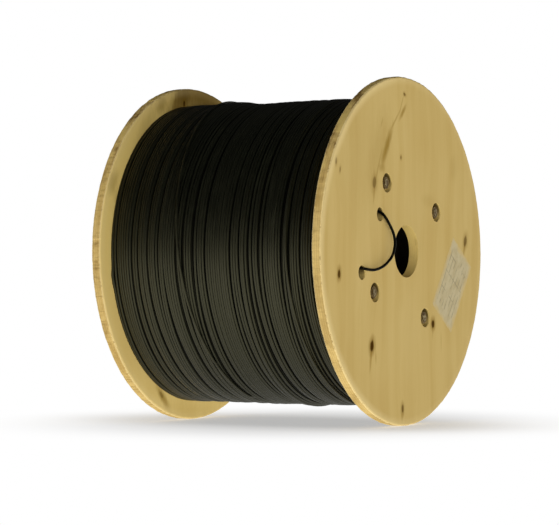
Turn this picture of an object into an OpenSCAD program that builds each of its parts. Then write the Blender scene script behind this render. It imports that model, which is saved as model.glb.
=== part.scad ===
// Plywood cable drum: two flanges tied to a tube core by four rods, wound with thin cable.
// The drum lies on its rims. Its axis runs along X, and the inner end of the cable comes out
// of the flange at +X.

/* [Flanges] */
// Diameter of both flanges
flange_d = 400; // [380:5:480]
// Width over both flanges
overall_w = 300; // [200:5:400]
// Thickness of each plywood flange
flange_t = 12; // [11:0.5:18]
// Rounding of the rim edges
rim_ease = 2; // [0.5:0.25:3]
// Diameter of the arbor hole
arbor_d = 60; // [40:1:76]
// Chamfer at the outer mouth of the arbor hole
arbor_ease = 1; // [0.25:0.25:2]

/* [Tie rods] */
// Space between the tie rods and the inside of the core
rod_core_gap = 1; // [0.5:0.5:12]
// Turn of the first tie rod from the horizontal
rod_angle = 31.7; // [25:0.1:38]
// Diameter of the tie rods
rod_d = 8; // [6:0.5:10]
// Diameter of the recess around each rod end
recess_d = 22; // [18:0.5:25]
// Depth of the recess
recess_depth = 7; // [6.5:0.25:7.5]
// Diameter of the washers
washer_d = 16; // [15:0.5:17.5]
// Thickness of the washers
washer_t = 1.6; // [1:0.1:2]
// Width of the nuts across their flats
nut_af = 13; // [12:0.5:14]
// Height of the thin nuts
nut_h = 4; // [3:0.25:4.5]
// Height of the turned-off corners of the nuts
nut_ease = 0.6; // [0.2:0.1:1]
// Length of rod that stands out of each nut
rod_proud = 0.6; // [0:0.1:0.9]

/* [Core] */
// Outside diameter of the core tube
core_d = 200; // [160:1:260]
// Wall of the core tube
core_wall = 5; // [3:0.25:10]
// Depth of the ring groove that seats the core in each flange
groove_depth = 2.5; // [1:0.25:3]

/* [Cable] */
// Diameter of the cable
cable_d = 3; // [2.5:0.1:3.5]
// Diameter over the wound cable
winding_d = 358; // [300:1:370]
// Diameter of the hole that the cable starts from
start_hole_d = 16; // [15:0.5:20]
// Wood between the core and the start hole
start_hole_gap = 2.3; // [1:0.1:10]
// Turn of the start hole from the horizontal
start_hole_angle = 193.4; // [190:0.1:196]
// Diameter of the hole that the tail is tucked into
tuck_hole_d = 16; // [15:0.5:20]
// Wood between the inside of the core and the tuck hole
tuck_hole_gap = 11.3; // [8:0.1:14]
// Turn of the tuck hole from the horizontal
tuck_hole_angle = 147.7; // [145:0.1:150]

/* [Fits] */
// Clearance around each round part in its hole or groove
fit_gap = 0.2; // [0.1:0.05:0.3]

/* [Hidden] */
$fn = 96;
ply_color = [0.74, 0.63, 0.39];
board_color = [0.52, 0.42, 0.30];
cable_color = [0.09, 0.09, 0.08];
steel_color = [0.55, 0.55, 0.54];

flange_r = flange_d / 2;
half_w = overall_w / 2;
traverse = overall_w - 2 * flange_t;
seat_x = half_w - recess_depth;
rod_half = seat_x + washer_t + nut_h + rod_proud;
core_r = core_d / 2;
core_inner_r = core_r - core_wall;
winding_r = winding_d / 2;
rod_n = 4;
rod_hole_d = rod_d + 2 * fit_gap;
rod_circle_r = core_inner_r - rod_core_gap - rod_d / 2;
// Overshoot of a cut past the face that it opens
cut = 1;

// Turns that lie side by side in the outer layer, and the points that round each one
turns = floor(traverse / cable_d);
turn_pitch = traverse / turns;
turn_steps = 4;

start_hole_r = core_r + start_hole_gap + start_hole_d / 2;
tuck_hole_r = core_inner_r - tuck_hole_gap - tuck_hole_d / 2;
start_hole = start_hole_r * [cos(start_hole_angle), sin(start_hole_angle)];
tuck_hole = tuck_hole_r * [cos(tuck_hole_angle), sin(tuck_hole_angle)];

// Route of the tail: across the face, up the face, height over the face
tail_sides = 8;
tail_out = [
  [-2.5, 3, -flange_t], [-2.5, 3, -7], [-1, 5, -2], [2.5, 4.5, 1]
];
tail_arc = [
  [-98, -22, 3], [-90, -22.5, 4.5], [-81.5, -21.5, 5.5], [-73, -19.5, 6], [-65, -16.5, 6.5],
  [-57, -12.5, 6.5], [-49.5, -7, 7], [-44.5, 0, 7], [-42, 7.5, 7], [-42.5, 15, 6.5],
  [-45.5, 21.5, 6], [-50, 28, 5], [-54.5, 33.5, 4], [-57, 37.5, 2.5]
];
tail_in = [
  [5.5, 1, -0.5], [4.5, 3, -4], [3.5, 4.5, -8], [3, 5, -13], [2, 5.5, -20], [0, 5.5, -28]
];
tail_route = concat(
  [for (p = tail_out) [start_hole[0] + p[0], start_hole[1] + p[1], half_w + p[2]]],
  [for (p = tail_arc) [p[0], p[1], half_w + p[2]]],
  [for (p = tail_in) [tuck_hole[0] + p[0], tuck_hole[1] + p[1], half_w + p[2]]]
);

function unit(v) = v / norm(v);
function tail_dir(i) =
  unit(tail_route[min(i + 1, len(tail_route) - 1)] - tail_route[max(i - 1, 0)]);
// Side vector of each ring, carried along the route without twist
function tail_sides_from(i, last) =
  i == len(tail_route) ? [] :
  let (d = tail_dir(i), s = unit(last - (last * d) * d))
  concat([s], tail_sides_from(i + 1, s));

// Quarter round of a rim edge, centred on c, from angle a
function ease_arc(c, a) =
  [for (k = [0:3]) c + rim_ease * [cos(a + 30 * k), sin(a + 30 * k)]];

// Lays a part that was drawn about its own Z axis along X, at the height of the drum's axis
module on_axis() {
  translate([0, 0, flange_r]) rotate([90, 0, 90]) children();
}

module at_rod(i) {
  rotate([0, 0, rod_angle + 90 * (i - 1)]) translate([rod_circle_r, 0, 0]) children();
}

// Plywood disc standing on its inner face, with the arbor hole
module disc() {
  rotate_extrude()
    polygon(concat(
      [[arbor_d / 2, 0]],
      ease_arc([flange_r - rim_ease, rim_ease], -90),
      ease_arc([flange_r - rim_ease, flange_t - rim_ease], 0),
      [[arbor_d / 2 + arbor_ease, flange_t], [arbor_d / 2, flange_t - arbor_ease]]
    ));
}

module core_groove() {
  translate([0, 0, -cut])
    difference() {
      cylinder(h = groove_depth + cut, r = core_r + fit_gap);
      translate([0, 0, -cut]) cylinder(h = groove_depth + 3 * cut, r = core_inner_r - fit_gap);
    }
}

// Round cut of diameter d right through a part of height h
module through(h, d) {
  translate([0, 0, -cut]) cylinder(h = h + 2 * cut, d = d);
}

module flange() {
  difference() {
    disc();
    core_groove();
    for (i = [1:rod_n]) {
      at_rod(i) through(flange_t, rod_hole_d);
      at_rod(i) translate([0, 0, flange_t - recess_depth]) cylinder(h = recess_depth + cut, d = recess_d);
    }
  }
}

module near_flange() {
  color(ply_color)
    on_axis()
      translate([0, 0, traverse / 2])
        difference() {
          flange();
          translate(start_hole) through(flange_t, start_hole_d);
          translate(tuck_hole) through(flange_t, tuck_hole_d);
        }
}

module far_flange() {
  color(ply_color)
    on_axis()
      mirror([0, 0, 1])
        translate([0, 0, traverse / 2])
          flange();
}

module core_tube() {
  core_l = traverse + 2 * groove_depth;
  color(board_color)
    on_axis()
      translate([0, 0, -core_l / 2])
        difference() {
          cylinder(h = core_l, r = core_r);
          through(core_l, 2 * core_inner_r);
        }
}

// One turned solid with its bore. The turns of its outer layer stand side by side.
module cable_winding() {
  turn_r = turn_pitch / 2;
  color(cable_color)
    on_axis()
      rotate_extrude()
        polygon(concat(
          [[core_r + fit_gap, traverse / 2], [core_r + fit_gap, -traverse / 2]],
          [[winding_r - turn_r, -traverse / 2]],
          [for (i = [0:turns - 1], k = [0:turn_steps - 1])
            let (a = 180 * (k + 0.5) / turn_steps)
            [winding_r - turn_r + turn_r * sin(a), -traverse / 2 + turn_pitch * (i + 0.5) - turn_r * cos(a)]],
          [[winding_r - turn_r, traverse / 2]]
        ));
}

module cable_tail() {
  n = len(tail_route);
  side = tail_sides_from(0, [1, 0, 0]);
  points = [for (i = [0:n - 1], k = [0:tail_sides - 1])
    let (a = 360 * k / tail_sides, d = tail_dir(i))
    tail_route[i] + cable_d / 2 * (cos(a) * side[i] + sin(a) * cross(d, side[i]))];
  walls = [for (i = [0:n - 2], k = [0:tail_sides - 1])
    let (q = (k + 1) % tail_sides)
    [i * tail_sides + k, (i + 1) * tail_sides + k, (i + 1) * tail_sides + q, i * tail_sides + q]];
  first = [for (k = [0:tail_sides - 1]) k];
  last = [for (k = [0:tail_sides - 1]) n * tail_sides - 1 - k];
  color(cable_color)
    on_axis()
      polyhedron(points = points, faces = concat([first], walls, [last]));
}

module tie_rod(i) {
  color(steel_color)
    on_axis()
      at_rod(i)
        translate([0, 0, -rod_half]) cylinder(h = 2 * rod_half, d = rod_d);
}

module washer(i) {
  at_rod(i)
    translate([0, 0, seat_x])
      difference() {
        cylinder(h = washer_t, d = washer_d);
        through(washer_t, rod_hole_d);
      }
}

// Hexagon with the corners turned off at both ends
module nut(i) {
  corner_r = nut_af / 2 / cos(30);
  at_rod(i)
    translate([0, 0, seat_x + washer_t])
      difference() {
        intersection() {
          cylinder(h = nut_h, r = corner_r, $fn = 6);
          rotate_extrude()
            polygon([
              [0, 0], [nut_af / 2, 0], [corner_r + fit_gap, nut_ease], [corner_r + fit_gap, nut_h - nut_ease],
              [nut_af / 2, nut_h], [0, nut_h]
            ]);
        }
        through(nut_h, rod_hole_d);
      }
}

module near_washer(i) {
  color(steel_color) on_axis() washer(i);
}

module far_washer(i) {
  color(steel_color) on_axis() mirror([0, 0, 1]) washer(i);
}

module near_nut(i) {
  color(steel_color) on_axis() nut(i);
}

module far_nut(i) {
  color(steel_color) on_axis() mirror([0, 0, 1]) nut(i);
}

near_flange();
far_flange();
core_tube();
cable_winding();
cable_tail();
for (i = [1:rod_n]) tie_rod(i);
for (i = [1:rod_n]) near_washer(i);
for (i = [1:rod_n]) far_washer(i);
for (i = [1:rod_n]) near_nut(i);
for (i = [1:rod_n]) far_nut(i);
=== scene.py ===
import random
from math import atan2, cos, exp, pi, radians, sin

import bpy
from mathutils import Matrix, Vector


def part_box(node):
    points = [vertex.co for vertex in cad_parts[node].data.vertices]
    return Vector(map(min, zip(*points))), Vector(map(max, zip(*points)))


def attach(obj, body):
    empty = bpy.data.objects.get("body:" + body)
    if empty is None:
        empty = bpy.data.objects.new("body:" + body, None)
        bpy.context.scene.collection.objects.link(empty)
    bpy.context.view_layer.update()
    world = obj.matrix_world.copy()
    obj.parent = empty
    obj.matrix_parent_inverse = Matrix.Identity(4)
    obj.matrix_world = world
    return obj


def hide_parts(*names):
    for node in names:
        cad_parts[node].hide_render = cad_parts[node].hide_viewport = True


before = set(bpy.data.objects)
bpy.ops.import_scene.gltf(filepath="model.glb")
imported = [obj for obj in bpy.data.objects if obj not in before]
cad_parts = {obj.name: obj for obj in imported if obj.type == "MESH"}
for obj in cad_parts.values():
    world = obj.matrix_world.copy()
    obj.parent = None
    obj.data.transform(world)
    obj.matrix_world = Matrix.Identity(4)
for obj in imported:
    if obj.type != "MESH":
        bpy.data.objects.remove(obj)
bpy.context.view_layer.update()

# A plywood cable drum, wound with thin black cable, standing on the rims of its flanges

# Sizes of the drum in metres, from the boxes of its solids where they give them

MM = 0.001


def corners(node):
    low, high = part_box(node)
    return Vector(low), Vector(high)


near_low, near_high = corners("near_flange")
far_low, far_high = corners("far_flange")
core_low, core_high = corners("core_tube")
wound_low, wound_high = corners("cable_winding")

FACE_X = near_high.x
FLANGE_T = near_high.x - near_low.x
FLANGE_R = (near_high.z - near_low.z) / 2
AXIS_Z = (near_high.z + near_low.z) / 2
CORE_R = (core_high.z - core_low.z) / 2
WOUND_R = (wound_high.z - wound_low.z) / 2
WOUND_HALF = (wound_high.x - wound_low.x) / 2

ARBOR_R = 30 * MM
RIM_EASE = 2.5 * MM
HOLE_EASE = 0.5 * MM
PLIES = 9
RECESS_R = 11 * MM
RECESS_DEPTH = 7 * MM
ROD_HOLE_R = 4.2 * MM
THREAD_PITCH = 1.25 * MM
CORE_WALL = 5 * MM
GROOVE_DEPTH = 2.5 * MM
FIT_GAP = 0.2 * MM
CABLE_D = 3 * MM
CABLE_HOLE_R = 8 * MM

# Places on a flange's face: across it and up from the axis
RODS = [sum(corners(f"tie_rod_{i}"), Vector()) / 2 for i in range(1, 5)]
ROD_HOLES = [(rod.y, rod.z - AXIS_Z) for rod in RODS]
START_HOLE = Vector((-107.3, -25.56)) * MM
TUCK_HOLE = Vector((-63.99, 40.45)) * MM
CABLE_HOLES = [START_HOLE, TUCK_HOLE]

# Tail of the cable: across the face, up the face, height over the face, in millimetres.
# The first and last stretch are measured from the two cable holes, the arc from the axis.
TAIL_OUT = [(-2.5, 3, -12), (-2.5, 3, -7), (-1, 5, -2), (2.5, 4.5, 1)]
TAIL_ARC = [
    (-98, -22, 3), (-90, -22.5, 4.5), (-81.5, -21.5, 5.5), (-73, -19.5, 6), (-65, -16.5, 6.5),
    (-57, -12.5, 6.5), (-49.5, -7, 7), (-44.5, 0, 7), (-42, 7.5, 7), (-42.5, 15, 6.5),
    (-45.5, 21.5, 6), (-50, 28, 5), (-54.5, 33.5, 4), (-57, 37.5, 2.5),
]
TAIL_IN = [(5.5, 1, -0.5), (4.5, 3, -4), (3.5, 4.5, -8), (3, 5, -13), (2, 5.5, -20), (0, 5.5, -28)]


# Shader maths

def srgb(red, green, blue):
    """A screen colour, 0 to 255, as the linear colour that a shader takes."""
    def linear(value):
        value /= 255
        return value / 12.92 if value <= 0.04045 else ((value + 0.055) / 1.055) ** 2.4
    return (linear(red), linear(green), linear(blue), 1)


class Wire:
    """A socket in a node tree. Sums on it add Math nodes."""

    def __init__(self, nodes, socket):
        self.nodes = nodes
        self.socket = socket

    def __add__(self, other):
        return self.nodes.math("ADD", self, other)

    def __radd__(self, other):
        return self.nodes.math("ADD", other, self)

    def __sub__(self, other):
        return self.nodes.math("SUBTRACT", self, other)

    def __rsub__(self, other):
        return self.nodes.math("SUBTRACT", other, self)

    def __mul__(self, other):
        return self.nodes.math("MULTIPLY", self, other)

    def __rmul__(self, other):
        return self.nodes.math("MULTIPLY", other, self)

    def __truediv__(self, other):
        return self.nodes.math("DIVIDE", self, other)

    def __abs__(self):
        return self.nodes.math("ABSOLUTE", self)


class Nodes:
    """The nodes of one material, or of the world."""

    def __init__(self, tree):
        self.tree = tree

    def add(self, kind, settings=None, sockets=None, out=0):
        node = self.tree.nodes.new(kind)
        for key, value in (settings or {}).items():
            setattr(node, key, value)
        for key, value in (sockets or {}).items():
            if isinstance(value, Wire):
                self.tree.links.new(value.socket, node.inputs[key])
            else:
                node.inputs[key].default_value = value
        return Wire(self, node.outputs[out]) if node.outputs else node

    def math(self, operation, first, second=0.0):
        return self.add("ShaderNodeMath", {"operation": operation}, {0: first, 1: second})

    def most(self, first, second):
        return self.math("MAXIMUM", first, second)

    def zigzag(self, value, height):
        """Up from 0 to height and down again, over and over."""
        return self.math("PINGPONG", value, height)

    def ease(self, value, start, end):
        """0 up to start, 1 from end on, with a soft slope between. The other way where end is lower."""
        return self.add("ShaderNodeMapRange", {"interpolation_type": "SMOOTHSTEP"}, {
            "Value": value, "From Min": start, "From Max": end})

    def place(self):
        """Where a point of the piece lies, in metres."""
        return self.add("ShaderNodeTexCoord", out="Object")

    def axes(self, vector):
        parts = self.add("ShaderNodeSeparateXYZ", None, {0: vector}).socket.node.outputs
        return [Wire(self, part) for part in parts]

    def join(self, x, y, z):
        return self.add("ShaderNodeCombineXYZ", None, {0: x, 1: y, 2: z})

    def scaled(self, vector, scale):
        return self.add("ShaderNodeVectorMath", {"operation": "MULTIPLY"}, {0: vector, 1: scale})

    def length(self, vector):
        return self.add("ShaderNodeVectorMath", {"operation": "LENGTH"}, {0: vector}, "Value")

    def distance(self, vector, point):
        return self.add("ShaderNodeVectorMath", {"operation": "DISTANCE"}, {0: vector, 1: point}, "Value")

    def angle(self, across, up):
        """The angle of a point round the drum's axis."""
        return self.math("ARCTAN2", up - AXIS_Z, across)

    def noise(self, vector, scale, detail, roughness=0.5, shift=(0, 0, 0)):
        """Soft noise about 0.5, with a scale for each axis."""
        drawn = self.add("ShaderNodeMapping", None, {"Vector": vector, "Scale": scale, "Location": shift})
        return self.add("ShaderNodeTexNoise", None, {
            "Vector": drawn, "Scale": 1.0, "Detail": detail, "Roughness": roughness}, "Fac")

    def blend(self, share, first, second):
        return self.add("ShaderNodeMix", {"data_type": "RGBA"}, {0: share, 6: first, 7: second}, 2)

    def spot(self, vector, centre, half, tilt, soft, wobble):
        """A blot on a flange's face: 1 in its middle, 0 outside, turned by tilt degrees."""
        inside = self.add("ShaderNodeMapping", {"vector_type": "TEXTURE"}, {
            "Vector": vector, "Location": (0, centre[0], centre[1]),
            "Rotation": (radians(-tilt), 0, 0), "Scale": (1, half[0], half[1])})
        reach = self.length(self.scaled(inside, (0, 1, 1)))
        return 1 - self.ease(reach + wobble, 1 - soft, 1 + soft)

    def bump(self, height, strength, distance):
        return self.add("ShaderNodeBump", None, {
            "Height": height, "Strength": strength, "Distance": distance}, "Normal")


def finish(name):
    """A new material, its nodes and its shader."""
    material = bpy.data.materials.new(name)
    material.use_nodes = True
    nodes = Nodes(material.node_tree)
    return material, nodes, material.node_tree.nodes["Principled BSDF"]


def feed(nodes, shader, **sockets):
    """Links what varies over the surface to the shader's sockets."""
    for name, wire in sockets.items():
        nodes.tree.links.new(wire.socket, shader.inputs[name.replace("_", " ")])


# Plywood

VENEER = srgb(200, 173, 108)
VENEER_PALE = srgb(206, 181, 118)
VENEER_DARK = srgb(191, 162, 96)
VENEER_STAIN = srgb(151, 122, 54)
# Painted highlight: pale wood along the faces' border and the eased edges, where they catch the light
VENEER_HIGHLIGHT = srgb(230, 207, 148)
# Pale fresh wood: the bore walls' own colour, and painted light on the far flange's inner face and on the
# rim's top
VENEER_FRESH_AND_PAINTED_LIGHT = srgb(230, 201, 119)
KNOT = srgb(68, 42, 1)
KNOT_RING = srgb(128, 96, 20)
# Painted shade, with some grime, inside the holes and recesses
HOLE_SHADE_AND_GRIME = srgb(74, 58, 28)
PLY_LIGHT = srgb(218, 188, 118)
PLY_BROWN = srgb(172, 138, 74)
PLY_DIRT = srgb(123, 92, 42)
WOOD_GLINT = (1.0, 0.84, 0.45, 1)

# Knots and pitch streaks of each flange, and blots of painted shade on the far flange: centre on the face
# and half size in millimetres, tilt in degrees, darkness. Later ones lie over earlier ones.
NEAR_KNOTS = [
    ((-84, -107), (4, 6), 10, 1.0), ((-10, -180), (2.6, 4.5), 0, 0.62),
    ((67.5, -84), (3.4, 4.6), 4, 0.95), ((155, 15), (3.6, 6.5), 15, 0.6),
    ((-159.5, -27.5), (2.8, 4.8), 5, 0.9), ((-78, 75.5), (4, 6.5), 8, 0.5),
    ((-13.5, 107), (1.5, 2), 0, 0.5), ((-4.5, 180), (2.5, 1.6), 20, 0.6),
    ((-166, 95), (1.8, 3.5), 10, 0.55), ((-157, 86), (1.4, 3), 10, 0.4),
]
NEAR_STREAKS = [
    ((-48, 118), (4.5, 22), 29, 0.95), ((-9, 159), (2.4, 10), 42, 0.8),
    ((-87, -122), (2.2, 12), 8, 0.6), ((-75, -120), (1.6, 6), -4, 0.35),
    ((-10.5, -186), (2.5, 7), 3, 0.55), ((-79, 63), (1.8, 9), 8, 0.45),
    ((152, 5), (2.2, 9), 15, 0.5), ((-60, 144), (1.2, 5), 20, 0.35),
    ((-59, 93), (6, 4), 0, 0.4), ((89, -105), (0.9, 9), 0, 0.35),
    ((-68, 110), (16, 42), 22, 0.2), ((57, 60), (14, 7), 0, 0.15),
    ((123, 102), (9, 14), 10, 0.15), ((67, -92), (1.6, 8), 4, 0.3),
    ((-110, 100), (45, 60), 30, 0.14), ((-28, 148), (1.3, 15), 44, 0.5),
    ((-11, 170), (1, 11), 26, 0.4), ((-68, 95), (1.5, 20), 24, 0.4),
]
FAR_KNOTS = [
    ((96, -70), (3.4, 5), 6, 0.8), ((20, -150), (2.6, 4), -4, 0.7),
    ((-130, -40), (3, 4.6), -2, 0.8), ((120, 96), (2.4, 3.2), -10, 0.6),
    # The knots at (13, 194) and (-31, 184) are no knots: painted shade, over some brown stain, at the top
    # of the inner face where the winding shades it
    ((-74, -168), (2.4, 5), -44, 0.35), ((13, 194), (52, 22), 0, 0.4),
    ((-31, 184), (12, 30), 35, 0.3), ((-25, 181), (1.8, 3.4), 5, 1.0),
]
FAR_STREAKS = [
    ((-70, -172), (4.5, 17), -44, 0.75), ((-175, 79), (8, 13), 30, 0.5),
    ((94, -88), (2, 14), 5, 0.5), ((22, 60), (12, 40), -8, 0.18),
    ((-20, -90), (14, 50), 4, 0.16), ((-132, -54), (1.8, 10), -2, 0.4),
    # The streaks at (22, 193) and (-34, 183) are painted shade, over some brown stain, at the top of the
    # inner face; the one at (-20, -196) is painted shade at its bottom
    ((-110, 140), (10, 30), 35, 0.3), ((22, 193), (42, 16), 0, 0.85),
    ((-166, 62), (6, 8), 10, 0.3), ((-20, -196), (70, 16), 0, 0.25),
    ((-34, 183), (13, 32), 35, 0.75), ((-75, 176), (8, 11), 35, 0.55),
]
# A knot's ring, in sizes of its heart
HALO = 1.7


class FlangePoint:
    """Where a point of a flange lies, which way it faces, and which flange it is."""

    def __init__(self, nodes, seed, inner_x, outer_x):
        self.seed = seed
        self.inner_x = inner_x
        self.outer_x = outer_x
        self.place = nodes.place()
        self.along, self.across, up = nodes.axes(self.place)
        self.level = up - AXIS_Z
        self.face = nodes.join(self.along, self.across, self.level)
        self.flat = nodes.join(0.0, self.across, self.level)
        self.reach = nodes.length(self.flat)
        self.facing = nodes.axes(nodes.add("ShaderNodeTexCoord", out="Normal"))[0]


def veneer(nodes, at, painted_light):
    """The faces without their knots: colour, blotches, fibres and the relief of the grain, and painted
    light on the side that faces +X.
    """
    wander = nodes.noise(at.face, (9, 14, 5), 3.0, shift=(at.seed, 0, 0))
    grain = nodes.join(at.seed, at.across + 0.05 * wander, at.level)
    bands = nodes.noise(grain, (1, 42, 1.6), 4.0, 0.55)
    fibre = nodes.noise(grain, (1, 420, 11), 4.0, 0.6)
    pores = nodes.noise(grain, (1, 1500, 60), 2.0)
    blotch = nodes.noise(at.face, (6, 9, 6), 3.0, shift=(0, at.seed, 0))
    colour = nodes.blend(nodes.ease(bands, 0.3, 0.7), VENEER_DARK, VENEER)
    colour = nodes.blend(nodes.ease(blotch, 0.35, 0.75) * 0.6, colour, VENEER_PALE)
    colour = nodes.blend(nodes.ease(fibre, 0.52, 0.75) * 0.3, colour, VENEER_DARK)
    colour = nodes.blend(nodes.ease(pores, 0.62, 0.8) * 0.12, colour, VENEER_STAIN)
    # Painted light: the side that faces +X is paler, all of it at the top
    if painted_light:
        painted_light_share = painted_light + (1 - painted_light) * nodes.ease(at.level, -0.14, 0.08)
        colour = nodes.blend(nodes.ease(at.facing, 0.5, 0.9) * painted_light_share, colour, VENEER_FRESH_AND_PAINTED_LIGHT)
    return colour, blotch, fibre, 0.25 * fibre + 0.2 * pores + 0.15 * bands


def veneer_marks(nodes, at, colour, streaks, knots):
    """The colour with the streaks and knots on it, and the knots' dark hearts."""
    ragged = (nodes.noise(at.face, (60, 260, 90), 2.0) - 0.5) * 0.7
    for centre, half, tilt, depth in streaks:
        mark = nodes.spot(at.face, Vector(centre) * MM, Vector(half) * MM, tilt, 0.8, ragged)
        colour = nodes.blend(mark * depth, colour, VENEER_STAIN)
    hearts = 0.0
    for centre, half, tilt, depth in knots:
        halo = nodes.spot(at.face, Vector(centre) * MM, Vector(half) * HALO * MM, tilt, 0.6, ragged)
        heart = nodes.spot(at.face, Vector(centre) * MM, Vector(half) * MM, tilt, 0.3, ragged * 0.6)
        colour = nodes.blend(halo * depth * 0.7, colour, KNOT_RING)
        colour = nodes.blend(heart * depth, colour, KNOT)
        hearts = nodes.most(heart * depth, hearts)
    return colour, hearts


def ply_section(nodes, at, mottling, highlight_side):
    """The plies on every cut edge, clean in the bores and dirty on the rim, with painted shade and light on
    the rim's top and a painted highlight on the eased edges: colour and relief.
    """
    saw = nodes.noise(at.place, (900, 70, 70), 3.0, 0.65)
    patch = nodes.noise(at.place, (40, 16, 16), 4.0, 0.6, (0, 0, at.seed))
    mottle = nodes.noise(at.place, (170, 200, 200), 3.0, 0.65, (at.seed, 0, 0))
    ticks = nodes.noise(at.place, (50, 620, 620), 2.0, 0.6, (at.seed, 0, 0))
    stain = nodes.noise(at.place, (60, 30, 30), 3.0, 0.6, (0, 0, at.seed + 5))
    chips = nodes.noise(at.place, (300, 260, 260), 2.0, 0.6, (0, at.seed, 0))
    ply = (at.along - at.inner_x) / FLANGE_T * PLIES + (saw - 0.5) * 0.35
    cross_ply = nodes.ease(nodes.zigzag(ply, 1.0), 0.3, 0.7)
    rim = nodes.ease(at.reach, 0.12, 0.18)
    high = nodes.ease(at.level, 0.02, 0.16)
    turned = nodes.ease(abs(at.facing), 0.15, 0.5)
    corner = nodes.ease(abs(at.along - (at.inner_x + at.outer_x) / 2), 2.8 * MM, 5 * MM)
    chipped = nodes.ease(chips, 0.54, 0.64) * nodes.ease(stain, 0.4, 0.6)

    colour = nodes.blend(cross_ply * 0.25, PLY_LIGHT, PLY_BROWN)
    colour = nodes.blend(nodes.ease(patch, 0.48, 0.75) * rim * 0.7, colour, PLY_BROWN)
    colour = nodes.blend((1 - rim) * 0.7, colour, VENEER_FRESH_AND_PAINTED_LIGHT)
    colour = nodes.blend(nodes.ease(mottle, 0.45, 0.65) * rim * mottling, colour, PLY_BROWN)
    colour = nodes.blend(nodes.ease(ticks, 0.52, 0.7) * rim * mottling * 1.2, colour, PLY_DIRT)
    # Dirt all round the rim, with painted shade added towards its top; between these stains the top gets
    # painted light of pale wood
    colour = nodes.blend(nodes.ease(stain, 0.5, 0.62) * (0.25 + 0.55 * high), colour, PLY_DIRT)
    colour = nodes.blend(high * nodes.ease(stain, 0.52, 0.38) * 0.8, colour, VENEER_FRESH_AND_PAINTED_LIGHT)
    colour = nodes.blend(nodes.ease(saw, 0.6, 0.78) * 0.5, colour, PLY_DIRT)
    # Painted highlight on the eased edges, stronger on the -Y side
    colour = nodes.blend(turned * 0.75 * highlight_side, colour, VENEER_HIGHLIGHT)
    colour = nodes.blend(chipped * corner * rim * 0.6, colour, PLY_DIRT)
    return colour, 0.45 * saw - 0.4 * cross_ply


def hole_shade_and_grime(nodes, at, hole):
    """Painted shade with some grime inside one hole, below the outer face, darker towards the hole's top.
    """
    reach = nodes.distance(at.flat, (0, *hole))
    sunk = nodes.ease(abs(at.along - at.outer_x), 0.4 * MM, 2.5 * MM)
    inside = 1 - nodes.ease(reach, RECESS_R + 0.4 * MM, RECESS_R + 0.8 * MM)
    return sunk * inside * (0.15 + 0.75 * nodes.ease(at.level - hole[1], -6 * MM, 3 * MM))


def plywood(name, seed, inner_x, outer_x, knots, streaks, holes, highlight_share, mottling, painted_light):
    """Bare plywood: a knotty veneer on the faces, the plies on every edge, painted shade with some grime in
    the holes.

    highlight_share says how strong the painted highlight along the border is, mottling how dirty the rim
    is. Where painted_light isn't 0, the side that faces +X is paler, as painted light: all of it at the
    top, and the share that painted_light gives at the bottom.
    """
    material, nodes, shader = finish(name)
    at = FlangePoint(nodes, seed, inner_x, outer_x)
    colour, blotch, fibre, grain = veneer(nodes, at, painted_light)
    colour, hearts = veneer_marks(nodes, at, colour, streaks, knots)
    # Painted highlight along the faces' border, stronger on the -Y side
    border_highlight = nodes.ease(at.reach + (blotch - 0.5) * (8 * MM), FLANGE_R - 12 * MM, FLANGE_R - 2 * MM)
    highlight_side = 0.3 + 0.7 * nodes.ease(at.across, 0.06, -0.08)
    colour = nodes.blend(border_highlight * highlight_side * highlight_share, colour, VENEER_HIGHLIGHT)
    section, sawn = ply_section(nodes, at, mottling, highlight_side)
    # Painted shade, with some grime, inside each hole: darker towards its top
    for hole in holes:
        shade_and_grime = hole_shade_and_grime(nodes, at, hole)
        section = nodes.blend(shade_and_grime, section, HOLE_SHADE_AND_GRIME)
        colour = nodes.blend(shade_and_grime, colour, HOLE_SHADE_AND_GRIME)

    edge = 1 - nodes.ease(abs(at.facing), 0.55, 0.85)
    colour = nodes.blend(edge, colour, section)
    rough = 0.62 + 0.12 * fibre + edge * 0.12
    relief = (1 - edge) * (grain - 0.5 * hearts) + edge * sawn
    feed(nodes, shader, Base_Color=colour, Roughness=rough, Normal=nodes.bump(relief, 0.35, 0.8 * MM))
    shader.inputs["Specular IOR Level"].default_value = 0.02
    shader.inputs["Specular Tint"].default_value = WOOD_GLINT
    return material


# Cable, core, steel and paper

JACKET = srgb(10, 12, 8)
JACKET_DUST = srgb(25, 27, 18)
# Near-black jacket: painted shade on the layers beneath the outer turns, and the tail's own black
JACKET_DEEP = srgb(7, 7, 5)
JACKET_GLINT = (1.0, 0.95, 0.55, 1)
BOARD = srgb(58, 49, 37)
BOARD_DARK = srgb(40, 33, 25)
BOARD_LAPS = 9
ZINC = srgb(122, 100, 54)
# Painted highlight: the rods, whose ends show in the recesses, lighter than the nuts
ZINC_PAINTED_HIGHLIGHT = srgb(152, 136, 94)
ZINC_DULL = srgb(46, 36, 12)
RUST = srgb(84, 60, 20)
PAPER = srgb(191, 176, 135)
PAPER_THIN = srgb(171, 152, 106)
RULE = srgb(120, 110, 80)

LABEL_CENTRE = Vector((118.5, -38)) * MM
LABEL_SIZE = Vector((98, 61)) * MM
LABEL_TILT = radians(54.5)
LABEL_WORN = 7 * MM
RULED_HALF = Vector((36, 23.5)) * MM
ROW_STEP = 7.2 * MM
ROW_START = 100 * MM
COLUMN_STEP = 22 * MM
COLUMN_START = 104 * MM


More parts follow.
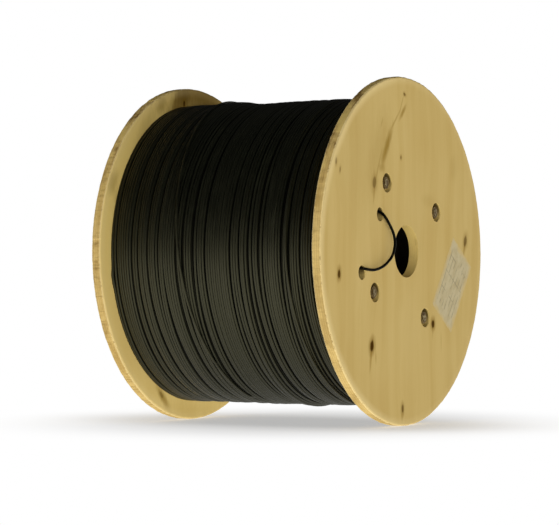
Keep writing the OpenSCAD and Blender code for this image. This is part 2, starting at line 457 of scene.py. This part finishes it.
def cable_jacket(name, clean, dusty, gloss):
    """Black cable jacket, satin, with a film of dust."""
    material, nodes, shader = finish(name)
    place = nodes.place()
    along, across, up = nodes.axes(place)
    laid = nodes.join(along, nodes.angle(across, up), 0.0)
    shade = nodes.noise(laid, (330, 1.6, 1), 2.0, 0.6)
    dust = nodes.noise(place, (70, 40, 40), 4.0, 0.65)
    scuff = nodes.noise(place, (600, 300, 300), 2.0)
    film = nodes.ease(dust, 0.42, 0.75) * 0.35 + nodes.ease(shade, 0.5, 0.75) * 0.5
    colour = nodes.blend(film, clean, dusty)
    rough = 0.27 + 0.22 * shade + 0.1 * nodes.ease(dust, 0.4, 0.8)
    feed(nodes, shader, Base_Color=colour, Roughness=rough, Normal=nodes.bump(scuff, 0.12, 0.3 * MM))
    shader.inputs["Specular IOR Level"].default_value = gloss
    shader.inputs["Specular Tint"].default_value = JACKET_GLINT
    return material


def core_board():
    """Grey-brown fibreboard, wound in a spiral."""
    material, nodes, shader = finish("core_board")
    place = nodes.place()
    along, across, up = nodes.axes(place)
    lap = nodes.math("FRACT", along * BOARD_LAPS + nodes.angle(across, up) / (2 * pi))
    seam = 1 - nodes.ease(abs(lap - 0.5), 0.0, 0.02)
    flecks = nodes.noise(place, (300, 500, 500), 3.0, 0.7)
    colour = nodes.blend(nodes.ease(flecks, 0.35, 0.7), BOARD, BOARD_DARK)
    colour = nodes.blend(seam * 0.7, colour, BOARD_DARK)
    rough = 0.8 + 0.1 * flecks
    feed(nodes, shader, Base_Color=colour, Roughness=rough, Normal=nodes.bump(flecks - seam, 0.2, 0.5 * MM))
    return material


def zinc_steel(name, zinc, thread):
    """Dull zinc plating with a little rust, and a thread where thread is true."""
    material, nodes, shader = finish(name)
    place = nodes.place()
    along = nodes.axes(place)[0]
    tarnish = nodes.noise(place, (300, 300, 300), 4.0, 0.65)
    speck = nodes.noise(place, (900, 900, 900), 2.0)
    rust = nodes.ease(tarnish + 0.3 * speck, 0.55, 0.75)
    colour = nodes.blend(nodes.ease(tarnish, 0.35, 0.65), zinc, ZINC_DULL)
    colour = nodes.blend(rust * 0.7, colour, RUST)
    rough = 0.28 + 0.3 * tarnish
    height = 0.2 * speck
    if thread:
        height = height + nodes.zigzag(along, THREAD_PITCH / 2) * 900
    feed(nodes, shader, Base_Color=colour, Roughness=rough, Metallic=0.4 - 0.35 * rust,
         Normal=nodes.bump(height, 0.3, 0.6 * MM))
    shader.inputs["Specular IOR Level"].default_value = 0.1
    return material


def ruled_grid(nodes, long_way, short_way):
    """Thin rows and columns in the middle of the label."""
    row = nodes.zigzag(short_way + ROW_START, ROW_STEP / 2)
    column = nodes.zigzag(long_way + COLUMN_START, COLUMN_STEP / 2)
    rows = 1 - nodes.ease(row, 0.4 * MM, 1.0 * MM)
    columns = 1 - nodes.ease(column, 0.4 * MM, 0.9 * MM)
    in_length = 1 - nodes.ease(abs(long_way), RULED_HALF.x, RULED_HALF.x + 0.5 * MM)
    in_height = 1 - nodes.ease(abs(short_way), RULED_HALF.y, RULED_HALF.y + 0.5 * MM)
    return nodes.most(rows, columns) * (in_length * in_height)


def label_paper():
    """Thin blank paper with the wood half showing through, and faint ruled lines."""
    material, nodes, shader = finish("label_paper")
    place = nodes.place()
    sheet = nodes.add("ShaderNodeMapping", {"vector_type": "TEXTURE"}, {
        "Vector": place, "Location": (0, LABEL_CENTRE.x, AXIS_Z + LABEL_CENTRE.y),
        "Rotation": (LABEL_TILT, 0, 0), "Scale": (1, 1, 1)})
    long_way, short_way = nodes.axes(sheet)[1:]
    thin = nodes.noise(nodes.join(0.0, long_way, short_way), (1, 60, 120), 4.0, 0.6)
    pulp = nodes.noise(place, (900, 900, 900), 2.0)
    faded = nodes.noise(place, (90, 90, 90), 3.0)
    ruled = ruled_grid(nodes, long_way, short_way) * nodes.ease(faded, 0.4, 0.6)
    border = nodes.most(abs(long_way) - LABEL_SIZE.x / 2, abs(short_way) - LABEL_SIZE.y / 2)
    worn = nodes.ease(border + (faded - 0.5) * (14 * MM), -LABEL_WORN, 0.0)
    colour = nodes.blend(nodes.ease(thin, 0.38, 0.7) * 0.6, PAPER, PAPER_THIN)
    colour = nodes.blend(ruled * 0.55, colour, RULE)
    colour = nodes.blend(worn * 0.75, colour, VENEER)
    rough = 0.7 + 0.1 * pulp
    creases = thin + 0.2 * pulp
    feed(nodes, shader, Base_Color=colour, Roughness=rough, Normal=nodes.bump(creases, 0.2, 0.6 * MM))
    return material


# Modelling

def start_clean():
    if bpy.context.object and bpy.context.object.mode != "OBJECT":
        bpy.ops.object.mode_set(mode="OBJECT")
    bpy.ops.object.select_all(action="DESELECT")


def take(piece):
    """Selects one piece by itself."""
    start_clean()
    piece.select_set(True)
    bpy.context.view_layer.objects.active = piece


def edit_all(piece):
    """Edit mode on one piece, with all of it selected."""
    take(piece)
    bpy.ops.object.mode_set(mode="EDIT")
    bpy.ops.mesh.select_all(action="SELECT")


def end_edit():
    bpy.ops.object.mode_set(mode="OBJECT")


def new_piece(name, data):
    piece = bpy.data.objects.new(name, data)
    bpy.context.collection.objects.link(piece)
    return piece


def smooth(piece, degrees):
    take(piece)
    bpy.ops.object.shade_smooth_by_angle(angle=radians(degrees))


def dress(piece, material, slot, *nodes):
    """Gives a piece its finish, and says what it rides on and stands for."""
    piece.data.materials.clear()
    piece.data.materials.append(material)
    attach(piece, "root")
    if nodes:
        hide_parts(*nodes)


# Flanges

RIM_SIDES = 240
BORE_SIDES = 96
RECESS_SIDES = 48
CABLE_HOLE_SIDES = 40
ROD_HOLE_SIDES = 32
PAST = 2 * MM
WELD = 0.01 * MM
# How far a knock moves the rim out, in millimetres
KNOCK = (-0.25, 0.2)


def round_bar(name, low_x, high_x, at, radius, sides):
    """A straight round bar along the drum's axis, at a place across and up the face."""
    start_clean()
    bpy.ops.mesh.primitive_cylinder_add(
        vertices=sides, radius=radius, depth=high_x - low_x, rotation=(0, pi / 2, 0),
        location=((low_x + high_x) / 2, at[0], AXIS_Z + at[1]))
    bpy.ops.object.transform_apply(location=True, rotation=True, scale=True)
    bpy.context.object.name = name
    return bpy.context.object


def cut_away(piece, cutter):
    take(piece)
    cut = piece.modifiers.new("cut", "BOOLEAN")
    cut.operation = "DIFFERENCE"
    cut.solver = "EXACT"
    cut.object = cutter
    bpy.ops.object.modifier_apply(modifier=cut.name)
    bpy.data.objects.remove(cutter)


def turned_disc(name, low_x, high_x):
    """A disc with its rims eased, and then knocked a little here and there."""
    disc = round_bar(name, low_x, high_x, (0, 0), FLANGE_R, RIM_SIDES)
    for edge in disc.data.edges:
        first, second = (disc.data.vertices[v].co for v in edge.vertices)
        edge.select = abs(first.x - second.x) < 1e-6
    take(disc)
    bpy.ops.object.mode_set(mode="EDIT")
    bpy.ops.mesh.select_mode(type="EDGE")
    bpy.ops.mesh.bevel(offset=RIM_EASE, segments=4, affect="EDGES")
    end_edit()
    chance = random.Random(name)
    knocks = [chance.uniform(*KNOCK) for k in range(RIM_SIDES)]
    for vertex in disc.data.vertices:
        y, z = vertex.co.y, vertex.co.z - AXIS_Z
        step = round(atan2(z, y) / (2 * pi) * RIM_SIDES) % RIM_SIDES
        worn = 1 + (knocks[step] + 0.5 * knocks[step // 6]) * MM / FLANGE_R
        vertex.co = (vertex.co.x, y * worn, AXIS_Z + z * worn)
    return disc


def cut_groove(disc, inner_x, outward):
    """The ring groove in a flange's inner face that the core sits in."""
    low_x, high_x = sorted((inner_x - outward * PAST, inner_x + outward * GROOVE_DEPTH))
    ring = round_bar("groove_cut", low_x, high_x, (0, 0), CORE_R + FIT_GAP, BORE_SIDES)
    hub_r = CORE_R - CORE_WALL - FIT_GAP
    cut_away(ring, round_bar("groove_hub", low_x - PAST, high_x + PAST, (0, 0), hub_r, BORE_SIDES))
    cut_away(disc, ring)


def ease_edges(disc):
    """Eases the edges that the cuts left, and clears away the slivers that this makes."""
    take(disc)
    ease = disc.modifiers.new("ease", "BEVEL")
    ease.width = HOLE_EASE
    ease.segments = 2
    ease.limit_method = "ANGLE"
    ease.angle_limit = radians(50)
    bpy.ops.object.modifier_apply(modifier=ease.name)
    edit_all(disc)
    bpy.ops.mesh.remove_doubles(threshold=WELD)
    bpy.ops.mesh.dissolve_degenerate(threshold=WELD)
    bpy.ops.mesh.select_mode(type="EDGE")
    bpy.ops.mesh.select_all(action="DESELECT")
    bpy.ops.mesh.select_non_manifold(
        use_wire=True, use_boundary=True, use_multi_face=False, use_non_contiguous=False, use_verts=False)
    bpy.ops.mesh.delete(type="EDGE")
    end_edit()
    smooth(disc, 40)
    flat = disc.modifiers.new("flat", "WEIGHTED_NORMAL")
    flat.keep_sharp = True
    bpy.ops.object.modifier_apply(modifier=flat.name)


def plywood_disc(name, low_x, outward, cable_holes):
    """A flange: a turned disc, and the holes that are cut in it."""
    high_x = low_x + FLANGE_T
    outer_x = high_x if outward > 0 else low_x
    inner_x = low_x if outward > 0 else high_x
    through = (low_x - PAST, high_x + PAST)
    recess = sorted((outer_x - outward * RECESS_DEPTH, outer_x + outward * PAST))
    disc = turned_disc(name, low_x, high_x)
    cut_away(disc, round_bar("arbor_cut", *through, (0, 0), ARBOR_R, BORE_SIDES))
    for at in ROD_HOLES:
        cut_away(disc, round_bar("rod_cut", *through, at, ROD_HOLE_R, ROD_HOLE_SIDES))
        cut_away(disc, round_bar("recess_cut", *recess, at, RECESS_R, RECESS_SIDES))
    for at in cable_holes:
        cut_away(disc, round_bar("cable_cut", *through, at, CABLE_HOLE_R, CABLE_HOLE_SIDES))
    cut_groove(disc, inner_x, outward)
    ease_edges(disc)
    return disc


# Wound cable. Angles round the drum run from +Y up to +Z.

# Dark lines between the turns of the outer layer, in millimetres: place along the axis, then the
# width towards the top of the drum, at its middle and towards the bottom
LINES = [
    (-132, 1.4, 1.7, 2.6), (-112, 1.8, 2.8, 4.0), (-103, 0.3, 1.7, 3.2), (-89, 2.0, 2.0, 3.0),
    (-76, 2.4, 2.3, 0.4), (-66, 0.0, 0.2, 4.0), (-53, 0.8, 2.5, 3.6), (-44, 1.4, 3.6, 1.0),
    (-36, 2.0, 0.3, 0.0), (-30, 2.7, 3.7, 2.2), (-23, 0.3, 1.5, 4.2), (-15, 2.2, 2.5, 3.8),
    (20, 2.0, 2.1, 2.6), (25, 0.0, 0.3, 3.0), (29, 1.0, 2.4, 0.8), (41, 2.4, 2.8, 3.2),
    (48, 0.2, 1.9, 4.4), (55, 2.7, 3.1, 0.8), (62, 1.3, 1.5, 3.4), (83, 2.9, 3.6, 1.2),
    (88, 0.0, 0.3, 3.5), (95, 1.9, 2.4, 0.6), (104, 0.0, 0.4, 3.2), (110, 1.9, 2.4, 3.0),
    (124, 1.3, 1.5, 2.0),
]
# Heights to which a line's end widths reach, as a share of the winding's radius
LINE_ENDS = 0.85
# How far a turn sinks beside its lines: a share of their widths, and the most
SINK_SHARE = 0.3
SINK_MOST = 0.9 * MM
# Bulges and dips, in millimetres: place along the axis, half width, lift on top, lift below
BULGES = [(-65, 13, 2.4, 0), (-20, 20, -1.5, 0), (36, 11, 0, 2.4), (-66, 9, 0, 1.2)]
# How much closer in the top lies towards the near flange, and the underside all along, in millimetres
SLACK_FROM = 20
SLACK_OVER = 80
SLACK_TOP = 1.7
SLACK_BELOW = 0.6
# A kink of the turns by the far flange, in millimetres and at an angle
KINK_AT = -137
KINK_HALF = 3
KINK_LIFT = 2.5
KINK_ANGLE = radians(190)
KINK_SPREAD = radians(2.5)
# How far a turn sways along the axis, and rides high or low, in front of the drum, in millimetres
SWAY = (0.1, 0.45)
SWAY_WAVES = (2, 3, 4)
RIDE = (-0.3, 0.25)
# Turns that cross over the others: angle in degrees, place along the axis in millimetres
LONG_CROSSING = [(52, -92), (88, -80), (129, -63), (186, -43), (243, -23), (257, -17)]
SHORT_CROSSING = [(140, 91), (186, 95), (243, 104), (285, 109)]

CROSSOVER = radians(55)
OUTER_D = 1.16 * CABLE_D
OUTER_STEPS = 120
UNDER_R = WOUND_R - 1.4 * CABLE_D
UNDER_STEPS = 96
CROSSING_STEPS = 24
CROSSING_RAMP = 0.14
CROSSING_OVER = 0.85 * CABLE_D
CROSSING_SUNK = -0.8 * CABLE_D
BODY_R = WOUND_R - 1.9 * CABLE_D - 2 * MM
BODY_LAYERS = 26
BODY_STEPS = 128
RING_DIP = 0.6 * MM
TAIL_D = 1.06 * CABLE_D


def soft_step(share):
    """From 0 to 1 as share is, with a soft start and end."""
    share = min(1.0, max(0.0, share))
    return share * share * (3 - 2 * share)


def swell(x, angle):
    """How far the layers beneath lift the outer turns, in metres."""
    top = max(0.0, sin(angle)) ** 2
    low = max(0.0, -sin(angle)) ** 2
    lift = 0.0
    for place, half, on_top, below in BULGES:
        lift += (on_top * top + below * low) * exp(-((x - place * MM) / (half * MM)) ** 2)
    slack = min(1.0, max(0.0, (x - SLACK_FROM * MM) / (SLACK_OVER * MM)))
    lift -= SLACK_TOP * top * slack + SLACK_BELOW * low
    lift += 0.35 * sin(x * 70 + 2 * angle) + 0.3 * sin(x * 31 - angle)
    off_kink = ((x - KINK_AT * MM) / (KINK_HALF * MM)) ** 2 + ((angle - KINK_ANGLE) / KINK_SPREAD) ** 2
    lift += KINK_LIFT * exp(-off_kink)
    return lift * MM


def on_winding(x, angle, radius):
    return Vector((x, radius * cos(angle), AXIS_Z + radius * sin(angle)))


def line_width(line, angle):
    """How wide a dark line is at an angle round the drum."""
    height = sin(angle)
    top, middle, low = line[1:]
    end = top if height > 0 else low
    return (middle + (end - middle) * soft_step(abs(height) / LINE_ENDS)) * MM


def turn_lines():
    """For each turn of the outer layer, the dark line that follows it, if any."""
    lines = list(LINES)
    follows = []
    x = -WOUND_HALF + CABLE_D
    while x + CABLE_D < WOUND_HALF:
        line = lines.pop(0) if lines and x > lines[0][0] * MM - CABLE_D / 2 else None
        follows.append(line)
        x += CABLE_D + (line[2] * MM if line else 0.0)
    return follows


def turn_places(angle, follows):
    """Where each turn of the outer layer lies along the axis at one angle, and how far it sinks."""
    widths = [line_width(line, angle) if line else 0.0 for line in follows]
    room = 2 * WOUND_HALF - CABLE_D * (len(follows) + 1)
    spare = (room - sum(widths)) / len(widths)
    x = -WOUND_HALF + CABLE_D / 2
    places = []
    for before, after in zip([0.0] + widths, widths + [0.0]):
        places.append((x, min(SINK_SHARE * (before + after), SINK_MOST)))
        x += CABLE_D + after + spare
    return places


def cable_path(name, thick, roundness):
    """An empty curve with the cable's round section."""
    path = bpy.data.curves.new(name, "CURVE")
    path.dimensions = "3D"
    path.bevel_depth = thick / 2
    path.bevel_resolution = roundness
    path.use_fill_caps = True
    return path


def cable_run(name, points, roundness, thick=CABLE_D):
    """Cable along a row of points, as a mesh."""
    path = cable_path(name, thick, roundness)
    spline = path.splines.new("POLY")
    spline.points.add(len(points) - 1)
    for point, place in zip(spline.points, points):
        point.co = (*place, 1)
    take(new_piece(name, path))
    bpy.ops.object.convert(target="MESH")
    bpy.ops.object.shade_smooth()
    return bpy.context.object


def outer_layer():
    """The turns that show. Each runs straight round and steps over to the next behind the drum."""
    follows = turn_lines()
    angles = [2 * pi * k / OUTER_STEPS for k in range(OUTER_STEPS)]
    places = [turn_places(angle, follows) for angle in angles]
    last = len(follows)
    chance = random.Random("wander")
    points = []
    for turn in range(last + 1):
        sway = chance.uniform(*SWAY)
        swing = chance.uniform(0, 2 * pi)
        waves = chance.choice(SWAY_WAVES)
        ride = chance.uniform(*RIDE)
        for angle, row in zip(angles, places):
            if turn == last and angle > 2 * pi - CROSSOVER:
                break
            x, sink = row[turn]
            loose = sin(angle / 2) ** 2 * MM
            x += sway * sin(waves * angle + swing) * loose
            sink -= ride * loose
            if turn < last:
                share = soft_step(1 - (2 * pi - angle) / CROSSOVER)
                next_x, next_sink = row[turn + 1]
                x += (next_x - x) * share
                sink += (next_sink - sink) * share
            points.append(on_winding(x, angle, WOUND_R - OUTER_D / 2 - sink + swell(x, angle)))
    return cable_run("cable_outer_layer", points, 2, OUTER_D)


def under_layer():
    """The layer beneath, which shows in the dark lines."""
    turns = int(2 * WOUND_HALF / CABLE_D)
    pitch = (2 * WOUND_HALF - CABLE_D) / turns
    points = []
    for k in range(turns * UNDER_STEPS):
        angle = 2 * pi * k / UNDER_STEPS
        x = -WOUND_HALF + CABLE_D / 2 + pitch * k / UNDER_STEPS
        points.append(on_winding(x, angle, UNDER_R + swell(x, angle)))
    return cable_run("cable_under_layer", points, 1)


def crossing_turn(name, route):
    """A turn that rises from between the others, crosses over them and sinks again."""
    laid = []
    for (angle_0, x_0), (angle_1, x_1) in zip(route, route[1:]):
        for k in range(CROSSING_STEPS):
            share = k / CROSSING_STEPS
            angle = radians(angle_0 + (angle_1 - angle_0) * share)
            laid.append((angle, (x_0 + (x_1 - x_0) * share) * MM))
    count = len(laid) - 1
    points = []
    for k, (angle, x) in enumerate(laid):
        rise = soft_step(min(k, count - k) / (CROSSING_RAMP * count))
        lift = swell(x, angle) + CROSSING_OVER * rise + CROSSING_SUNK * (1 - rise)
        points.append(on_winding(x, angle, WOUND_R - CABLE_D / 2 + lift))
    return cable_run(name, points, 2)


def wound_body():
    """All the layers beneath, turned in one, with each layer showing as a ring on the ends."""
    inner = CORE_R + FIT_GAP
    pitch = (BODY_R - inner) / BODY_LAYERS
    end = []
    for layer in range(BODY_LAYERS):
        radius = inner + pitch * layer
        end.append((radius, WOUND_HALF - RING_DIP))
        end.append((radius + 0.3 * pitch, WOUND_HALF))
        end.append((radius + 0.7 * pitch, WOUND_HALF))
    end.append((BODY_R, WOUND_HALF - RING_DIP))
    profile = end + [(radius, -x) for radius, x in reversed(end)]
    mesh = bpy.data.meshes.new("cable_body")
    verts = [(x, radius, AXIS_Z) for radius, x in profile]
    edges = [(k, (k + 1) % len(verts)) for k in range(len(verts))]
    mesh.from_pydata(verts, edges, [])
    body = new_piece("cable_body", mesh)
    edit_all(body)
    bpy.ops.mesh.spin(steps=BODY_STEPS, angle=2 * pi, center=(0, 0, AXIS_Z), axis=(1, 0, 0))
    bpy.ops.mesh.select_all(action="SELECT")
    bpy.ops.mesh.remove_doubles(threshold=WELD)
    bpy.ops.mesh.normals_make_consistent(inside=False)
    end_edit()
    smooth(body, 50)
    return body


def cable_tail():
    """The inner end of the cable, out of the start hole and tucked into the core, and where it starts."""
    route = [(START_HOLE.x + y * MM, START_HOLE.y + z * MM, h) for y, z, h in TAIL_OUT]
    route += [(y * MM, z * MM, h) for y, z, h in TAIL_ARC]
    route += [(TUCK_HOLE.x + y * MM, TUCK_HOLE.y + z * MM, h) for y, z, h in TAIL_IN]
    path = cable_path("cable_tail_end", TAIL_D, 4)
    path.resolution_u = 8
    spline = path.splines.new("BEZIER")
    spline.bezier_points.add(len(route) - 1)
    for point, (y, z, h) in zip(spline.bezier_points, route):
        point.co = (FACE_X + h * MM, y, AXIS_Z + z)
        point.handle_left_type = "AUTO"
        point.handle_right_type = "AUTO"
    return new_piece("cable_tail_end", path), spline.bezier_points[0].co.copy()


# Label

LABEL_CUTS = 31
LABEL_STAND = 0.07 * MM
LABEL_WAVE = 0.03 * MM
LABEL_T = 0.06 * MM
LABEL_TORN = 1.6 * MM


def paper_label():
    """A thin sheet stuck on the face, a little wavy and torn at its edges."""
    start_clean()
    bpy.ops.mesh.primitive_plane_add(size=1)
    sheet = bpy.context.object
    sheet.name = "paper_label"
    edit_all(sheet)
    bpy.ops.mesh.subdivide(number_cuts=LABEL_CUTS)
    end_edit()
    chance = random.Random("torn")
    for vertex in sheet.data.vertices:
        torn = 1
        if max(map(abs, vertex.co)) > 0.499:
            torn = 1 - chance.uniform(0.0, LABEL_TORN) / LABEL_SIZE.y
        long_way = vertex.co.x * LABEL_SIZE.x * torn
        short_way = vertex.co.y * LABEL_SIZE.y * torn
        wave = LABEL_WAVE * sin(long_way * 160 + short_way * 70) * sin(short_way * 230)
        y = LABEL_CENTRE.x + long_way * cos(LABEL_TILT) - short_way * sin(LABEL_TILT)
        z = LABEL_CENTRE.y + long_way * sin(LABEL_TILT) + short_way * cos(LABEL_TILT)
        vertex.co = (FACE_X + LABEL_STAND + wave, y, AXIS_Z + z)
    edit_all(sheet)
    bpy.ops.mesh.normals_make_consistent(inside=False)
    end_edit()
    body = sheet.modifiers.new("body", "SOLIDIFY")
    body.thickness = LABEL_T
    body.offset = 0
    bpy.ops.object.modifier_apply(modifier=body.name)
    smooth(sheet, 40)
    return sheet


# The drum

near_ply = plywood(
    "near_plywood", 3.1, near_low.x, near_high.x, NEAR_KNOTS, NEAR_STREAKS,
    CABLE_HOLES + ROD_HOLES, highlight_share=0.5, mottling=0.15, painted_light=0)
far_ply = plywood(
    "far_plywood", 8.7, far_high.x, far_low.x, FAR_KNOTS, FAR_STREAKS,
    ROD_HOLES, highlight_share=0.25, mottling=0.4, painted_light=0.4)
jacket = cable_jacket("cable_jacket", JACKET, JACKET_DUST, gloss=0.7)
# A darker copy of the jacket: painted shade on the layers beneath the outer turns
jacket_painted_shade = cable_jacket("cable_jacket_painted_shade", JACKET_DEEP, JACKET, gloss=0.15)
jacket_tail = cable_jacket("cable_jacket_tail", JACKET_DEEP, JACKET, gloss=0.06)
board = core_board()
steel = zinc_steel("zinc_steel", ZINC, thread=False)
threaded = zinc_steel("threaded_rod", ZINC_PAINTED_HIGHLIGHT, thread=True)

near_disc = plywood_disc("near_disc", near_low.x, 1, CABLE_HOLES)
far_disc = plywood_disc("far_disc", far_low.x, -1, [])
dress(near_disc, near_ply, "plywood", "near_flange")
dress(far_disc, far_ply, "plywood", "far_flange")

dress(wound_body(), jacket_painted_shade, "cable", "cable_winding")
dress(under_layer(), jacket_painted_shade, "cable")
dress(outer_layer(), jacket, "cable")
dress(crossing_turn("cable_crossing_turn", LONG_CROSSING), jacket, "cable")
dress(crossing_turn("cable_short_crossing", SHORT_CROSSING), jacket, "cable")

tail, tail_exit = cable_tail()
dress(tail, jacket_tail, "cable", "cable_tail")

dress(paper_label(), label_paper(), "label")

# Finishes of the pieces that keep their solids' shapes, by a word in the node's name
coats = {"core": board, "tie": threaded, "nut": steel, "washer": steel}
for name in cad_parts:
    for word in coats:
        if word in name.split("_"):
            for slot in bpy.data.objects[name].material_slots:
                slot.material = coats[word]


# Camera, floor and light

CAMERA_AT = Vector((1.2922, -2.2203, 0.1455))
CAMERA_LOOK = Vector((-0.50848, 0.86087, 0.0167))
FOCAL_PIXELS = 2173
IMAGE_WIDTH = 559
SENSOR_WIDTH = 36

FLOOR_SIZE = 60
FLOOR_COLOUR = (0.86, 0.86, 0.85, 1)
FLOOR_GLOW = 1.2
FLOOR_LIFT = 0.7
ROOM_GLOW = 0.1
BACKDROP_FROM = (-0.2, 0.3)
CEILING_GLOW = 0.03
CEILING_FROM = (0.14, 0.22)
WHITE = (1, 1, 1, 1)

# Soft boxes, all aimed at the drum's middle: name, place, width and height, power in watts
SOFT_BOXES = [
    ("key_light", (3.7, -3.3, 0.14), (2.0, 0.28), 79),
    ("top_light", (-1.2, -1.6, 2.2), (1.2, 1.2), 9),
]
DRUM_MIDDLE = Vector((0, 0, 0.2))


def photo_camera():
    lens = bpy.data.cameras.new("camera")
    lens.sensor_width = SENSOR_WIDTH
    lens.sensor_fit = "HORIZONTAL"
    lens.lens = FOCAL_PIXELS / IMAGE_WIDTH * SENSOR_WIDTH
    camera = new_piece("camera", lens)
    camera.location = CAMERA_AT
    camera.rotation_euler = CAMERA_LOOK.to_track_quat("-Z", "Y").to_euler()
    bpy.context.scene.camera = camera


def rays(nodes, *names):
    """1 for a ray of any of the kinds that are named."""
    paths = nodes.add("ShaderNodeLightPath").socket.node.outputs
    found = Wire(nodes, paths[names[0]])
    for name in names[1:]:
        found = nodes.most(found, Wire(nodes, paths[name]))
    return found


def studio_floor():
    """A bright floor. It lights the drum from below, and keeps a soft shadow under it.

    Bare is how far the plain floor shows through its glow: most under the drum, not at all far off.
    """
    start_clean()
    bpy.ops.mesh.primitive_plane_add(size=FLOOR_SIZE, location=(0, 0, 0))
    floor = bpy.context.object
    floor.name = "floor"
    material = bpy.data.materials.new("pale_floor")
    material.use_nodes = True
    material.node_tree.nodes.clear()
    nodes = Nodes(material.node_tree)
    place = nodes.place()
    away = nodes.length(place)
    near = nodes.length(nodes.scaled(place, (0.5, 1, 1)))
    bare = 0.7 - 0.5 * nodes.ease(away, 0.15, 0.42) - 0.2 * nodes.ease(near, 0.06, 0.2)
    seen = rays(nodes, "Is Camera Ray", "Is Glossy Ray", "Is Transmission Ray")
    shown = 1.0 + FLOOR_LIFT * bare
    matte = nodes.add("ShaderNodeBsdfDiffuse", None, {"Color": FLOOR_COLOUR})
    glow = nodes.add("ShaderNodeEmission", None, {
        "Color": WHITE, "Strength": FLOOR_GLOW + (shown - FLOOR_GLOW) * seen})
    mixed = nodes.add("ShaderNodeMixShader", None, {0: 1 - bare * seen, 1: matte, 2: glow})
    nodes.add("ShaderNodeOutputMaterial", None, {"Surface": mixed})
    floor.data.materials.append(material)


def studio_world():
    """White behind the drum, a dim room before it, dark overhead."""
    world = bpy.data.worlds.new("studio")
    world.use_nodes = True
    world.node_tree.nodes.clear()
    bpy.context.scene.world = world
    nodes = Nodes(world.node_tree)
    depth, height = nodes.axes(nodes.add("ShaderNodeTexCoord", out="Generated"))[1:]
    wall = ROOM_GLOW + (1 - ROOM_GLOW) * nodes.ease(depth, *BACKDROP_FROM)
    strength = wall - (wall - CEILING_GLOW) * nodes.ease(height, *CEILING_FROM)
    sky = nodes.add("ShaderNodeBackground", None, {"Color": WHITE, "Strength": strength})
    nodes.add("ShaderNodeOutputWorld", None, {"Surface": sky})


def soft_box(name, at, size, power):
    lamp = bpy.data.lights.new(name, "AREA")
    lamp.shape = "RECTANGLE"
    lamp.size, lamp.size_y = size
    lamp.energy = power
    box = new_piece(name, lamp)
    box.location = at
    box.rotation_euler = (DRUM_MIDDLE - Vector(at)).to_track_quat("-Z", "Y").to_euler()
    box.visible_camera = False
    box.visible_glossy = False


photo_camera()
studio_floor()
studio_world()
for box in SOFT_BOXES:
    soft_box(*box)

bpy.context.scene.view_settings.view_transform = "Standard"
